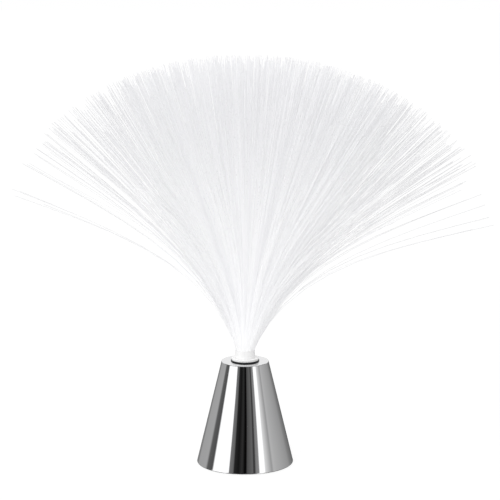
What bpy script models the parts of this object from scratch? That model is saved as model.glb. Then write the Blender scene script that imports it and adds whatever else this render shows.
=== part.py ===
"""Fibre optic lamp: a chrome cone that holds cells and light emitters, and a spray of fibres that lifts out.

The origin is on the cone's axis, on the surface that the lamp stands on. +Z is up and -Y is the front.
"""

import math
import random

import bmesh
import bpy
from mathutils import Matrix, Vector

MM = 0.001

# Fits
GAP = 0.3 * MM  # between pieces that touch
OVERRUN = 3.0 * MM  # how far a cutter runs past the face that it opens
WELD = 0.0002 * MM

# Cone shell
BASE_ROOM = 6.55 * MM  # from the trough's corners out to the cone's lower edge
TOP_RADIUS = 19.0 * MM
CONE_TOP = 85.2 * MM
SHELL_FOOT = 0.8 * MM  # lower edge of the shell and of the base plate above the table
SHELL_WALL = 1.6 * MM
RIM_FILLET = 1.2 * MM
EDGE_FILLET = 0.6 * MM
BOSS_ROOM = 0.45 * MM  # from a screw boss to the trough, and to the cone's wall at the boss's top
BOSS_TOP = 16.0 * MM
BOSS_RIB = 1.6 * MM

# Bundle, sleeve, collar and bush, from the axis outwards
BUNDLE_RADIUS = 7.0 * MM
SLEEVE_WALL = 0.6 * MM
COLLAR_WALL = 0.6 * MM
BUSH_WALL = 0.7 * MM
BUSH_FLANGE = 1.5 * MM  # how far the flange stands out from the bush
BUSH_FLANGE_THICK = 0.8 * MM
BUSH_LENGTH = 28.1 * MM
BUSH_LEDGE = 0.9 * MM
BUSH_SHELF = 0.8 * MM  # of the ledge, under the rim of the bundle
COLLAR_INSET = 0.3 * MM  # from the bush's flange in to the collar's
COLLAR_FLANGE_THICK = 1.2 * MM
COLLAR_EDGE = 0.35 * MM
COLLAR_DEPTH = 15.0 * MM
NECK_HEIGHT = 6.4 * MM  # sleeve above the collar's flange
NUT_RIM = 3.4 * MM  # from the bush out to the nut's corners
NUT_THICK = 3.5 * MM
NUT_SIDES = 6

# Fibre spray
FIBRE_RINGS = 10
FIBRE_SECTORS = 6
FIBRE_LENGTH = 236.0 * MM
FIBRE_SIDE_RADIUS = 0.36 * MM  # of the triangle that a strand has for its section
FIBRE_TIP_RADIUS = 0.30 * MM
FIBRE_STATIONS_SHARES = (0.13, 0.28, 0.6, 1.0)
FIBRE_SPREAD = math.radians(38.0)  # tip angle that grows evenly with the place in the bundle
FIBRE_FRINGE = math.radians(26.0)  # tip angle that only the outermost strands add
FIBRE_FRINGE_POWER = 14
FIBRE_STRAY = math.radians(76.0)  # tip angle of the widest strands
FIBRE_ROOT_SHARE = 0.4  # of the even spread that a strand already has where it leaves the sleeve
FIBRE_DROOP_POWER = 2.6
FIBRE_STRAY_EVERY = 5  # of the outermost strands, the first of so many is a widest one
FIBRE_UNEVEN_SHARE = 0.05  # by which the tip angles of neighbours differ
FIBRE_SHORT_SHARE = 0.04  # of the length that the shortest strand lacks
FIBRE_SUM_STEPS = 40
FIBRE_SEED = 7

# Light housing, window and board
HOUSING_RADIUS = 13.0 * MM
HOUSING_BORE = 8.2 * MM
HOUSING_GRIP = 9.0 * MM  # how far the cup reaches up the bush
HOUSING_DEPTH = 9.4 * MM
WINDOW_THICK = 1.0 * MM
BOARD_THICK = 1.6 * MM
BOARD_SCREW_PLACE = 10.6 * MM
LED_COUNT = 3
LED_PLACE = 4.3 * MM
LED_RADIUS = 2.5 * MM
LED_RIM_RADIUS = 2.9 * MM
LED_RIM_THICK = 1.0 * MM
LED_HEIGHT = 8.6 * MM
LED_LEG = 0.5 * MM
LED_LEG_PITCH = 2.54 * MM
LED_LEG_LENGTH = 3.4 * MM
LEG_HOLE_RADIUS = 0.7 * MM
BLOB_RADIUS = 3.0 * MM
BLOB_HEIGHT = 1.5 * MM
RESISTOR_LENGTH = 2.2 * MM
RESISTOR_WIDTH = 1.3 * MM
RESISTOR_HEIGHT = 0.6 * MM
RESISTOR_PLACE = 8.2 * MM
RESISTOR_TURN = math.radians(45.0)
LEAD_PAD_SIDE = 2.7 * MM  # of the soldered leads from the board's middle lines

# Cells and contacts, which set the trough
CELL_RADIUS = 5.25 * MM
CELL_LENGTH = 44.5 * MM
CELL_NUB_RADIUS = 1.9 * MM
CELL_NUB_LENGTH = 1.0 * MM
CELL_EDGE = 0.5 * MM
CELL_SPACE = 0.7 * MM  # between neighbouring cells
CELL_COUNT = 3
CELL_SIDE_ROOM = 0.55 * MM
CELL_TOP_ROOM = 0.6 * MM
CONTACT_THICK = 0.5 * MM
CONTACT_WIDTH = 8.0 * MM
CONTACT_HEIGHT = 9.0 * MM
TAB_WIDTH = 2.6 * MM
TAB_HEIGHT = 3.0 * MM  # of a terminal above the trough
SPRING_LENGTH = 2.1 * MM
SPRING_WIRE_RADIUS = 0.25 * MM
SPRING_WIDE_RADIUS = 3.6 * MM
SPRING_NARROW_RADIUS = 1.8 * MM
SPRING_TURNS = 2
SPRING_TURN_POINTS = 12

# Base plate and trough
PLATE_THICK = 3.0 * MM
TROUGH_WALL = 2.0 * MM
TROUGH_ROOF = 1.2 * MM
DOOR_THICK = 1.6 * MM
DOOR_LEDGE = 0.95 * MM
DOOR_TAB_PLACE = 9.0 * MM
DOOR_TAB_WIDTH = 5.0 * MM
DOOR_TAB_REACH = 1.2 * MM
DOOR_TAB_THICK = 0.5 * MM
DOOR_LIP = 0.8 * MM  # of the plate, under the tabs
LATCH_WIDTH = 10.0 * MM
LATCH_LENGTH = 9.0 * MM
LATCH_SLIT = 0.9 * MM
GRIP_DEPTH = 0.5 * MM
GRIP_WIDTH = 0.8 * MM
GRIP_COUNT = 4

# Slide switch
SWITCH_LENGTH = 10.0 * MM
SWITCH_WIDTH = 5.6 * MM
SWITCH_HEIGHT = 5.0 * MM
SWITCH_WALL = 0.7 * MM
SWITCH_EAR = 3.6 * MM  # how far each fixing ear reaches past the body
SWITCH_EAR_THICK = 0.8 * MM
SWITCH_TRAVEL = 3.0 * MM
SWITCH_STEM = 2.4 * MM
SWITCH_SLIDER_LENGTH = 4.2 * MM
SWITCH_SLIDER_WIDTH = 3.2 * MM
SWITCH_SLIDER_HEIGHT = 2.2 * MM
SWITCH_LUG = 0.8 * MM
SWITCH_LUG_PLACE = 3.0 * MM
POCKET_LENGTH = 11.0 * MM
POCKET_WIDTH = 6.4 * MM
POCKET_DEPTH = 1.2 * MM
KNOB_LENGTH = 4.0 * MM
KNOB_WIDTH = 3.6 * MM
KNOB_CLEAR = 0.5 * MM  # of the knob above the table
KNOB_GROOVE = 0.45 * MM

# Feet, screws and leads
FOOT_RADIUS = 4.5 * MM
FOOT_RIM = 1.4 * MM  # of the plate, outside a foot
FOOT_ANGLE = math.radians(35.0)
FOOT_SINK = 0.8 * MM
FOOT_EDGE = 0.3 * MM
SCREW_HEAD_RADIUS = 2.6 * MM
SCREW_HEAD_HEIGHT = 1.1 * MM
SCREW_SHANK_RADIUS = 1.1 * MM
SCREW_LENGTH = 9.0 * MM
SCREW_POINT = 1.0 * MM
SCREW_SLOT = 0.6 * MM
SCREW_SLOT_DEPTH = 0.6 * MM
SMALL_HEAD_RADIUS = 1.8 * MM
SMALL_HEAD_HEIGHT = 0.9 * MM
SMALL_SHANK_RADIUS = 0.8 * MM
SMALL_SCREW_LENGTH = 6.5 * MM
EAR_HEAD_RADIUS = 1.53 * MM
EAR_SCREW_LENGTH = 2.6 * MM
LEAD_RADIUS = 0.6 * MM
LEAD_POINTS = 14
LEAD_RISE = 9.0 * MM  # how far a lead runs straight before it bends away

# Round shapes
FINE_STEPS = 60
ROUND_STEPS = 36
SMALL_STEPS = 16
TINY_STEPS = 8
FILLET_STEPS = 3
SHARP = math.radians(35.0)

# Colours: base colour, roughness, metallic
CHROME = ("chrome", (0.80, 0.80, 0.81), 0.06, 1.0)
WHITE_PLASTIC = ("white_plastic", (0.90, 0.90, 0.90), 0.35, 0.0)
FIBRE = ("fibre", (0.93, 0.93, 0.94), 0.30, 0.0)
BLACK_PLASTIC = ("black_plastic", (0.015, 0.015, 0.016), 0.40, 0.0)
CLEAR = ("clear_plastic", (0.85, 0.90, 0.92), 0.05, 0.0)
BOARD_GREEN = ("board", (0.03, 0.20, 0.09), 0.45, 0.0)
RESIN = ("resin", (0.01, 0.01, 0.01), 0.25, 0.0)
STEEL = ("steel", (0.55, 0.56, 0.57), 0.30, 1.0)
RUBBER = ("rubber", (0.03, 0.03, 0.03), 0.80, 0.0)
CELL_SKIN = ("cell_skin", (0.20, 0.22, 0.24), 0.35, 0.0)
RED_EMITTER = ("red_emitter", (0.80, 0.25, 0.22), 0.20, 0.0)
GREEN_EMITTER = ("green_emitter", (0.25, 0.75, 0.35), 0.20, 0.0)
BLUE_EMITTER = ("blue_emitter", (0.25, 0.35, 0.85), 0.20, 0.0)
RED_LEAD = ("red_lead", (0.60, 0.03, 0.03), 0.50, 0.0)
BLACK_LEAD = ("black_lead", (0.02, 0.02, 0.02), 0.50, 0.0)

# Places that follow from the sizes
PLATE_TOP = SHELL_FOOT + PLATE_THICK
BUSH_TOP = CONE_TOP + GAP + BUSH_FLANGE_THICK
BUSH_BOTTOM = BUSH_TOP - BUSH_LENGTH
SLEEVE_INNER = BUNDLE_RADIUS + GAP
SLEEVE_OUTER = SLEEVE_INNER + SLEEVE_WALL
SLEEVE_BOTTOM = BUSH_BOTTOM + BUSH_LEDGE + GAP
COLLAR_INNER = SLEEVE_OUTER + GAP
COLLAR_OUTER = COLLAR_INNER + COLLAR_WALL
COLLAR_SEAT = BUSH_TOP + GAP
COLLAR_TOP = COLLAR_SEAT + COLLAR_FLANGE_THICK
BUSH_INNER = COLLAR_OUTER + GAP
BUSH_OUTER = BUSH_INNER + BUSH_WALL
BUSH_FLANGE_RADIUS = BUSH_OUTER + BUSH_FLANGE
BUSH_LEDGE_RADIUS = BUNDLE_RADIUS - BUSH_SHELF
COLLAR_FLANGE_RADIUS = BUSH_FLANGE_RADIUS - COLLAR_INSET
NUT_RADIUS = BUSH_OUTER + NUT_RIM
SLEEVE_TOP = COLLAR_TOP + NECK_HEIGHT
WINDOW_BOTTOM = BUSH_BOTTOM - GAP - WINDOW_THICK
HOUSING_LEDGE = WINDOW_BOTTOM - GAP
HOUSING_BOTTOM = HOUSING_LEDGE - HOUSING_DEPTH
BOARD_TOP = HOUSING_BOTTOM - GAP
BOARD_BOTTOM = BOARD_TOP - BOARD_THICK
CELL_PITCH = 2 * CELL_RADIUS + CELL_SPACE
TROUGH_CELLS_HALF = CELL_PITCH * (CELL_COUNT - 1) / 2 + CELL_RADIUS + CELL_SIDE_ROOM
CONTACT_FACE = (CELL_LENGTH + SPRING_LENGTH + 3 * GAP) / 2
CELL_SHIFT = CONTACT_FACE - GAP - CELL_LENGTH / 2
TROUGH_END = CONTACT_FACE + CONTACT_THICK + GAP
TROUGH_FLOOR = SHELL_FOOT + DOOR_THICK + GAP
CELL_HEIGHT = TROUGH_FLOOR + CELL_RADIUS
TROUGH_CEILING = CELL_HEIGHT + CELL_RADIUS + CELL_TOP_ROOM
TROUGH_TOP = TROUGH_CEILING + TROUGH_ROOF
TROUGH_SIDE = TROUGH_CELLS_HALF + TROUGH_WALL
TROUGH_BACK = TROUGH_END + TROUGH_WALL
BASE_RADIUS = math.hypot(TROUGH_SIDE, TROUGH_BACK) + BASE_ROOM
DOOR_HALF_WIDTH = TROUGH_CELLS_HALF + DOOR_LEDGE - GAP
DOOR_HALF_LENGTH = TROUGH_END + DOOR_LEDGE - GAP
SWITCH_BOTTOM = PLATE_TOP + GAP
HINGE = Vector((0, -DOOR_HALF_LENGTH, SHELL_FOOT))
PLATE_SCREW_ANGLES = (math.radians(90.0), math.radians(180.0), math.radians(270.0))


def cone_radius(height):
    """Outer radius of the cone's side at a height."""
    share = (height - SHELL_FOOT) / (CONE_TOP - SHELL_FOOT)
    return BASE_RADIUS + (TOP_RADIUS - BASE_RADIUS) * share


SLOPE = math.atan((BASE_RADIUS - TOP_RADIUS) / (CONE_TOP - SHELL_FOOT))


def inner_radius(height):
    return cone_radius(height) - SHELL_WALL / math.cos(SLOPE)


PLATE_RADIUS = inner_radius(PLATE_TOP) - GAP
BOSS_PLACE = (TROUGH_BACK + inner_radius(BOSS_TOP)) / 2
BOSS_RADIUS = (inner_radius(BOSS_TOP) - TROUGH_BACK) / 2 - BOSS_ROOM
FOOT_PLACE = PLATE_RADIUS - FOOT_RADIUS - FOOT_RIM
SWITCH_PLACE = (TROUGH_SIDE + PLATE_RADIUS) / 2


# Helpers


def clear_scene():
    for obj in list(bpy.data.objects):
        bpy.data.objects.remove(obj, do_unlink=True)


def material(finish):
    name, colour, roughness, metallic = finish
    found = bpy.data.materials.get(name)
    if found:
        return found
    made = bpy.data.materials.new(name)
    made.use_nodes = True
    made.diffuse_color = (*colour, 1.0)
    shader = made.node_tree.nodes["Principled BSDF"]
    shader.inputs["Base Color"].default_value = (*colour, 1.0)
    shader.inputs["Roughness"].default_value = roughness
    shader.inputs["Metallic"].default_value = metallic
    return made


def solid(name, mesh, finish, smooth=True):
    """Object for a sub-part from a bmesh, with its normals outward."""
    bmesh.ops.recalc_face_normals(mesh, faces=mesh.faces)
    data = bpy.data.meshes.new(name)
    mesh.to_mesh(data)
    mesh.free()
    if smooth:
        data.shade_smooth()
        data.set_sharp_from_angle(angle=SHARP)
    data.materials.append(material(finish))
    obj = bpy.data.objects.new(name, data)
    bpy.context.scene.collection.objects.link(obj)
    return obj


def tool(name, mesh, owner):
    """Guide solid for a Boolean. It moves with its owner and isn't a piece."""
    bmesh.ops.recalc_face_normals(mesh, faces=mesh.faces)
    data = bpy.data.meshes.new(name)
    mesh.to_mesh(data)
    mesh.free()
    obj = bpy.data.objects.new(name, data)
    bpy.context.scene.collection.objects.link(obj)
    obj.parent = owner
    obj.hide_render = True
    obj.display_type = "WIRE"
    return obj


def combine(owner, mesh, operation):
    step = owner.modifiers.new(operation.lower(), "BOOLEAN")
    step.operation = operation
    step.solver = "EXACT"
    step.object = tool(f"{owner.name}.{operation.lower()}.{len(owner.modifiers)}", mesh, owner)


def cut(owner, mesh):
    combine(owner, mesh, "DIFFERENCE")


def join(owner, mesh):
    combine(owner, mesh, "UNION")


def turned(outline, steps):
    """Solid turned about Z from (radius, height) points in order round its half section."""
    mesh = bmesh.new()
    points = [mesh.verts.new((radius, 0, height)) for radius, height in outline]
    edges = []
    for here, there in zip(points, points[1:] + points[:1]):
        if here.co.x > WELD or there.co.x > WELD:
            edges.append(mesh.edges.new((here, there)))
    bmesh.ops.spin(
        mesh, geom=points + edges, cent=(0, 0, 0), axis=(0, 0, 1), angle=math.tau, steps=steps,
        use_merge=True,
    )
    bmesh.ops.remove_doubles(mesh, verts=mesh.verts, dist=WELD)
    return mesh


def rod(radius, low, high, steps, place=(0, 0)):
    """Plain cylinder along Z."""
    mesh = turned([(0, low), (radius, low), (radius, high), (0, high)], steps)
    bmesh.ops.translate(mesh, verts=mesh.verts, vec=(*place, 0))
    return mesh


def block(low, high):
    """Box between two corners."""
    mesh = bmesh.new()
    bmesh.ops.create_cube(mesh, size=1)
    size = Vector(high) - Vector(low)
    bmesh.ops.scale(mesh, verts=mesh.verts, vec=size)
    bmesh.ops.translate(mesh, verts=mesh.verts, vec=(Vector(low) + Vector(high)) / 2)
    return mesh


def stepped_block(levels):
    """Stack of boxes in one solid, from (half width, half length, height) levels, from below."""
    mesh = bmesh.new()
    half_x, half_y, height = levels[0]
    corners = ((-half_x, -half_y), (half_x, -half_y), (half_x, half_y), (-half_x, half_y))
    bottom = face = mesh.faces.new([mesh.verts.new((*corner, height)) for corner in corners])
    for low, high in zip(levels, levels[1:]):
        made = bmesh.ops.extrude_face_region(mesh, geom=[face])["geom"]
        top = [item for item in made if isinstance(item, bmesh.types.BMVert)]
        if face is not bottom:
            mesh.faces.remove(face)
        face = next(item for item in made if isinstance(item, bmesh.types.BMFace))
        wide = (high[0] / low[0], high[1] / low[1], 1)
        bmesh.ops.scale(mesh, verts=top, vec=wide)
        bmesh.ops.translate(mesh, verts=top, vec=(0, 0, high[2] - low[2]))
    return mesh


def merged(meshes):
    """One bmesh of several solids that lie apart, for one cut."""
    whole = bmesh.new()
    for mesh in meshes:
        data = bpy.data.meshes.new("part")
        bmesh.ops.recalc_face_normals(mesh, faces=mesh.faces)
        mesh.to_mesh(data)
        mesh.free()
        whole.from_mesh(data)
        bpy.data.meshes.remove(data)
    return whole


def polar(radius, angle):
    return (radius * math.cos(angle), radius * math.sin(angle))


def arc(centre, radius, start, end, steps):
    """Points of a round stretch in the half section, from one angle to another."""
    for step in range(steps + 1):
        angle = start + (end - start) * step / steps
        yield (centre[0] + radius * math.cos(angle), centre[1] + radius * math.sin(angle))


# Base body


def shell_outline():
    """Half section of the shell: top, rim, side, lower edge, and back up inside."""
    rim = CONE_TOP - RIM_FILLET
    edge = SHELL_FOOT + EDGE_FILLET
    hole = BUSH_OUTER + GAP
    ceiling = CONE_TOP - SHELL_WALL
    outline = [(hole, CONE_TOP)]
    rim_centre = (cone_radius(rim) - RIM_FILLET / math.cos(SLOPE), rim)
    outline += arc(rim_centre, RIM_FILLET, math.pi / 2, SLOPE, FILLET_STEPS)
    edge_centre = (cone_radius(edge) - EDGE_FILLET / math.cos(SLOPE), edge)
    outline += arc(edge_centre, EDGE_FILLET, SLOPE, -math.pi / 2, FILLET_STEPS)
    outline += [(inner_radius(SHELL_FOOT), SHELL_FOOT), (inner_radius(ceiling), ceiling), (hole, ceiling)]
    return outline


def boss_rib(angle):
    """Web from a screw boss into the middle of the wall, set back from the boss's two ends."""
    low = PLATE_TOP + BOSS_RIB
    high = BOSS_TOP - BOSS_RIB
    middle = SHELL_WALL / 2
    mesh = bmesh.new()
    outline = (
        (BOSS_PLACE, low),
        (cone_radius(low) - middle, low),
        (cone_radius(high) - middle, high),
        (BOSS_PLACE, high),
    )
    points = [mesh.verts.new((radius, -BOSS_RIB / 2, height)) for radius, height in outline]
    face = mesh.faces.new(points)
    made = bmesh.ops.extrude_face_region(mesh, geom=[face])["geom"]
    moved = [item for item in made if isinstance(item, bmesh.types.BMVert)]
    bmesh.ops.translate(mesh, verts=moved, vec=(0, BOSS_RIB, 0))
    bmesh.ops.rotate(mesh, verts=mesh.verts, cent=(0, 0, 0), matrix=Matrix.Rotation(angle, 3, "Z"))
    return mesh


def cone_shell():
    shell = solid("cone_shell", turned(shell_outline(), FINE_STEPS), CHROME)
    low = PLATE_TOP + GAP
    places = [polar(BOSS_PLACE, angle) for angle in PLATE_SCREW_ANGLES]
    join(shell, merged([rod(BOSS_RADIUS, low, BOSS_TOP, SMALL_STEPS, place) for place in places]))
    join(shell, merged([boss_rib(angle) for angle in PLATE_SCREW_ANGLES]))
    pilot = SCREW_SHANK_RADIUS + GAP
    top = BOSS_TOP - SHELL_WALL
    cut(shell, merged([rod(pilot, low - OVERRUN, top, TINY_STEPS, place) for place in places]))


def socket_bush():
    outline = [
        (BUSH_INNER, BUSH_TOP),
        (BUSH_FLANGE_RADIUS, BUSH_TOP),
        (BUSH_FLANGE_RADIUS, CONE_TOP + GAP),
        (BUSH_OUTER, CONE_TOP + GAP),
        (BUSH_OUTER, BUSH_BOTTOM),
        (BUSH_LEDGE_RADIUS, BUSH_BOTTOM),
        (BUSH_LEDGE_RADIUS, BUSH_BOTTOM + BUSH_LEDGE),
        (BUSH_INNER, BUSH_BOTTOM + BUSH_LEDGE),
    ]
    solid("socket_bush", turned(outline, ROUND_STEPS), BLACK_PLASTIC)


def bush_nut():
    top = CONE_TOP - SHELL_WALL - GAP
    nut = solid("bush_nut", rod(NUT_RADIUS, top - NUT_THICK, top, NUT_SIDES), BLACK_PLASTIC)
    cut(nut, rod(BUSH_OUTER + GAP, top - NUT_THICK - OVERRUN, top + OVERRUN, ROUND_STEPS))


def led_housing():
    seat = BUSH_OUTER + GAP
    top = BUSH_BOTTOM + HOUSING_GRIP
    outline = [
        (seat, top),
        (HOUSING_RADIUS, top),
        (HOUSING_RADIUS, HOUSING_BOTTOM),
        (HOUSING_BORE, HOUSING_BOTTOM),
        (HOUSING_BORE, HOUSING_LEDGE),
        (seat, HOUSING_LEDGE),
    ]
    housing = solid("led_housing", turned(outline, ROUND_STEPS), WHITE_PLASTIC)
    pilot = SMALL_SHANK_RADIUS + GAP
    top = HOUSING_BOTTOM + SMALL_SCREW_LENGTH
    holes = [
        rod(pilot, HOUSING_BOTTOM - OVERRUN, top, TINY_STEPS, (side * BOARD_SCREW_PLACE, 0))
        for side in (-1, 1)
    ]
    cut(housing, merged(holes))


def lens_window():
    mesh = rod(BUSH_OUTER, WINDOW_BOTTOM, WINDOW_BOTTOM + WINDOW_THICK, ROUND_STEPS)
    solid("lens_window", mesh, CLEAR)


def led_place(index):
    angle = math.pi / 2 + math.tau * index / LED_COUNT
    return polar(LED_PLACE, angle), angle


def led_legs(index):
    """Places of the two legs, on a line square to the radius."""
    (x, y), angle = led_place(index)
    for side in (-1, 1):
        along = side * LED_LEG_PITCH / 2
        yield (x - along * math.sin(angle), y + along * math.cos(angle))


def led_board():
    board = solid("led_board", rod(HOUSING_RADIUS, BOARD_BOTTOM, BOARD_TOP, ROUND_STEPS), BOARD_GREEN)
    low, high = BOARD_BOTTOM - OVERRUN, BOARD_TOP + OVERRUN
    holes = [
        rod(LEG_HOLE_RADIUS, low, high, TINY_STEPS, place)
        for index in range(LED_COUNT)
        for place in led_legs(index)
    ]
    screw_hole = SMALL_SHANK_RADIUS + GAP
    holes += [rod(screw_hole, low, high, TINY_STEPS, (side * BOARD_SCREW_PLACE, 0)) for side in (-1, 1)]
    cut(board, merged(holes))


def led(name, index, finish):
    """Light emitter: rimmed body with a domed top and two square legs through the board."""
    low = BOARD_TOP + GAP
    dome = low + LED_HEIGHT - LED_RADIUS
    outline = [(0, low), (LED_RIM_RADIUS, low), (LED_RIM_RADIUS, low + LED_RIM_THICK)]
    outline += [(LED_RADIUS, low + LED_RIM_THICK)]
    outline += arc((0, dome), LED_RADIUS, 0, math.pi / 2, FILLET_STEPS)
    mesh = turned(outline[:-1] + [(0, low + LED_HEIGHT)], SMALL_STEPS)
    (x, y), _ = led_place(index)
    bmesh.ops.translate(mesh, verts=mesh.verts, vec=(x, y, 0))
    body = solid(name, mesh, finish)
    half = LED_LEG / 2
    legs = [
        block((px - half, py - half, low - LED_LEG_LENGTH), (px + half, py + half, low + LED_RIM_THICK / 2))
        for px, py in led_legs(index)
    ]
    join(body, merged(legs))


def controller_blob():
    """Drop of resin under the board, with a round outline."""
    top = BOARD_BOTTOM - GAP
    outline = [(0, top), (BLOB_RADIUS, top)]
    for step in range(1, FILLET_STEPS):
        angle = math.pi / 2 * step / FILLET_STEPS
        outline.append((BLOB_RADIUS * math.cos(angle), top - BLOB_HEIGHT * math.sin(angle)))
    outline.append((0, top - BLOB_HEIGHT))
    solid("controller_blob", turned(outline, SMALL_STEPS), RESIN)


def resistor(name, side):
    top = BOARD_BOTTOM - GAP
    half = RESISTOR_LENGTH / 2
    low = (side * RESISTOR_PLACE - RESISTOR_WIDTH / 2, -half, top - RESISTOR_HEIGHT)
    high = (side * RESISTOR_PLACE + RESISTOR_WIDTH / 2, half, top)
    mesh = block(low, high)
    turn = Matrix.Rotation(RESISTOR_TURN, 3, "Z")
    bmesh.ops.rotate(mesh, verts=mesh.verts, cent=(0, 0, 0), matrix=turn)
    solid(name, mesh, RESIN, smooth=False)


def screw(name, place, head_radius, head_height, shank_radius, length, cross):
    """Pan-head screw that points up. Its own origin is under the head, and place is there."""
    outline = [
        (0, -head_height),
        (head_radius - head_height / 2, -head_height),
        (head_radius, -head_height / 2),
        (head_radius, 0),
        (shank_radius, 0),
        (shank_radius, length - SCREW_POINT),
        (0, length),
    ]
    piece = solid(name, turned(outline, SMALL_STEPS), STEEL)
    piece.location = place
    reach = head_radius - head_height / 2
    half = SCREW_SLOT / 2
    low, high = -head_height - OVERRUN, -head_height + SCREW_SLOT_DEPTH
    cut(piece, block((-reach, -half, low), (reach, half, high)))
    if cross:
        cut(piece, block((-half, -reach, low), (half, reach, high)))
    return piece


def plate_disc():
    """Disc and trough, with the space for the cells and the recess for the door cut out."""
    plate = solid("base_plate", rod(PLATE_RADIUS, SHELL_FOOT, PLATE_TOP, FINE_STEPS), BLACK_PLASTIC)
    wide, deep = TROUGH_CELLS_HALF, TROUGH_END
    middle = (SHELL_FOOT + PLATE_TOP) / 2
    join(plate, block((-TROUGH_SIDE, -TROUGH_BACK, middle), (TROUGH_SIDE, TROUGH_BACK, TROUGH_TOP)))
    door_x, door_y = DOOR_HALF_WIDTH + GAP, DOOR_HALF_LENGTH + GAP
    levels = [
        (door_x, door_y, SHELL_FOOT - OVERRUN),
        (door_x, door_y, TROUGH_FLOOR),
        (wide, deep, TROUGH_FLOOR),
        (wide, deep, TROUGH_CEILING),
    ]
    cut(plate, stepped_block(levels))
    return plate


def tab_slots():
    """Slots over the plate's lip, where the door's tabs hook in, as high as the tabs' corners swing."""
    low = SHELL_FOOT + DOOR_LIP
    high = SHELL_FOOT + math.hypot(DOOR_TAB_REACH, DOOR_THICK) + GAP
    half = DOOR_TAB_WIDTH / 2 + GAP
    far, near = -DOOR_HALF_LENGTH - DOOR_TAB_REACH - GAP, -TROUGH_END + GAP
    return [
        block((side * DOOR_TAB_PLACE - half, far, low), (side * DOOR_TAB_PLACE + half, near, high))
        for side in (-1, 1)
    ]


def terminal_slots():
    """Slots in the trough's roof for the tabs of the two terminals."""
    half = TAB_WIDTH / 2 + GAP
    near, far = CONTACT_FACE - GAP, CONTACT_FACE + CONTACT_THICK + GAP
    slots = []
    for side, x in ((1, cell_x(0)), (-1, cell_x(CELL_COUNT - 1))):
        low_y, high_y = sorted((side * near, side * far))
        low_z, high_z = TROUGH_CEILING - TROUGH_ROOF, TROUGH_TOP + OVERRUN
        slots.append(block((x - half, low_y, low_z), (x + half, high_y, high_z)))
    return slots


def foot_places():
    for index in range(4):
        quarter = (index // 2) * math.pi
        side = 1 if index % 2 == 0 else -1
        yield polar(FOOT_PLACE, quarter + side * FOOT_ANGLE)


def counterbore(place):
    """Screw hole with the recess for its head, as one cutter."""
    seat = SHELL_FOOT + SCREW_HEAD_HEIGHT + 2 * GAP
    hole, recess = SCREW_SHANK_RADIUS + GAP, SCREW_HEAD_RADIUS + GAP
    outline = [
        (0, SHELL_FOOT - OVERRUN),
        (recess, SHELL_FOOT - OVERRUN),
        (recess, seat),
        (hole, seat),
        (hole, PLATE_TOP + OVERRUN),
        (0, PLATE_TOP + OVERRUN),
    ]
    mesh = turned(outline, SMALL_STEPS)
    bmesh.ops.translate(mesh, verts=mesh.verts, vec=(*place, 0))
    return mesh


def switch_opening():
    """Pocket for the knob and the slot that its stem slides in, as one cutter."""
    slot_x = SWITCH_STEM / 2 + GAP
    slot_y = (SWITCH_STEM + SWITCH_TRAVEL) / 2 + GAP
    pocket = (POCKET_WIDTH / 2, POCKET_LENGTH / 2)
    floor = SHELL_FOOT + POCKET_DEPTH
    levels = [
        (*pocket, SHELL_FOOT - OVERRUN),
        (*pocket, floor),
        (slot_x, slot_y, floor),
        (slot_x, slot_y, PLATE_TOP + OVERRUN),
    ]
    mesh = stepped_block(levels)
    bmesh.ops.translate(mesh, verts=mesh.verts, vec=(SWITCH_PLACE, 0, 0))
    return mesh


def ear_places():
    for side in (-1, 1):
        yield (SWITCH_PLACE, side * (SWITCH_LENGTH + SWITCH_EAR) / 2)


def base_plate():
    plate = plate_disc()
    sunk = FOOT_RADIUS + GAP
    deep = SHELL_FOOT + FOOT_SINK
    cutters = [rod(sunk, SHELL_FOOT - OVERRUN, deep, SMALL_STEPS, place) for place in foot_places()]
    cutters += [counterbore(polar(BOSS_PLACE, angle)) for angle in PLATE_SCREW_ANGLES]
    cutters.append(switch_opening())
    cut(plate, merged(cutters))
    blind = SMALL_SHANK_RADIUS + GAP
    floor = SHELL_FOOT + POCKET_DEPTH
    cutters = [rod(blind, floor, PLATE_TOP + OVERRUN, TINY_STEPS, place) for place in ear_places()]
    cut(plate, merged(cutters + tab_slots() + terminal_slots()))


def foot(name, place):
    top = SHELL_FOOT + FOOT_SINK - GAP
    outline = [(0, 0), (FOOT_RADIUS - FOOT_EDGE, 0), (FOOT_RADIUS, FOOT_EDGE), (FOOT_RADIUS, top), (0, top)]
    mesh = turned(outline, SMALL_STEPS)
    bmesh.ops.translate(mesh, verts=mesh.verts, vec=(*place, 0))
    solid(name, mesh, RUBBER)


def cell_side(index):
    """+1 where the cell's positive end points to +Y."""
    return 1 if index % 2 == 0 else -1


def cell_x(index):
    return (index - (CELL_COUNT - 1) / 2) * CELL_PITCH


def battery_cell(index):
    low, high = -CELL_LENGTH / 2, CELL_LENGTH / 2 - CELL_NUB_LENGTH
    outline = [
        (0, low),
        (CELL_RADIUS - CELL_EDGE, low),
        (CELL_RADIUS, low + CELL_EDGE),
        (CELL_RADIUS, high - CELL_EDGE),
        (CELL_RADIUS - CELL_EDGE, high),
        (CELL_NUB_RADIUS, high),
        (CELL_NUB_RADIUS, high + CELL_NUB_LENGTH),
        (0, high + CELL_NUB_LENGTH),
    ]
    cell = solid(f"battery_cell_{index + 1}", turned(outline, SMALL_STEPS), CELL_SKIN)
    side = cell_side(index)
    cell.location = (cell_x(index), side * CELL_SHIFT, CELL_HEIGHT)
    cell.rotation_euler = (-side * math.pi / 2, 0, 0)


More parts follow.
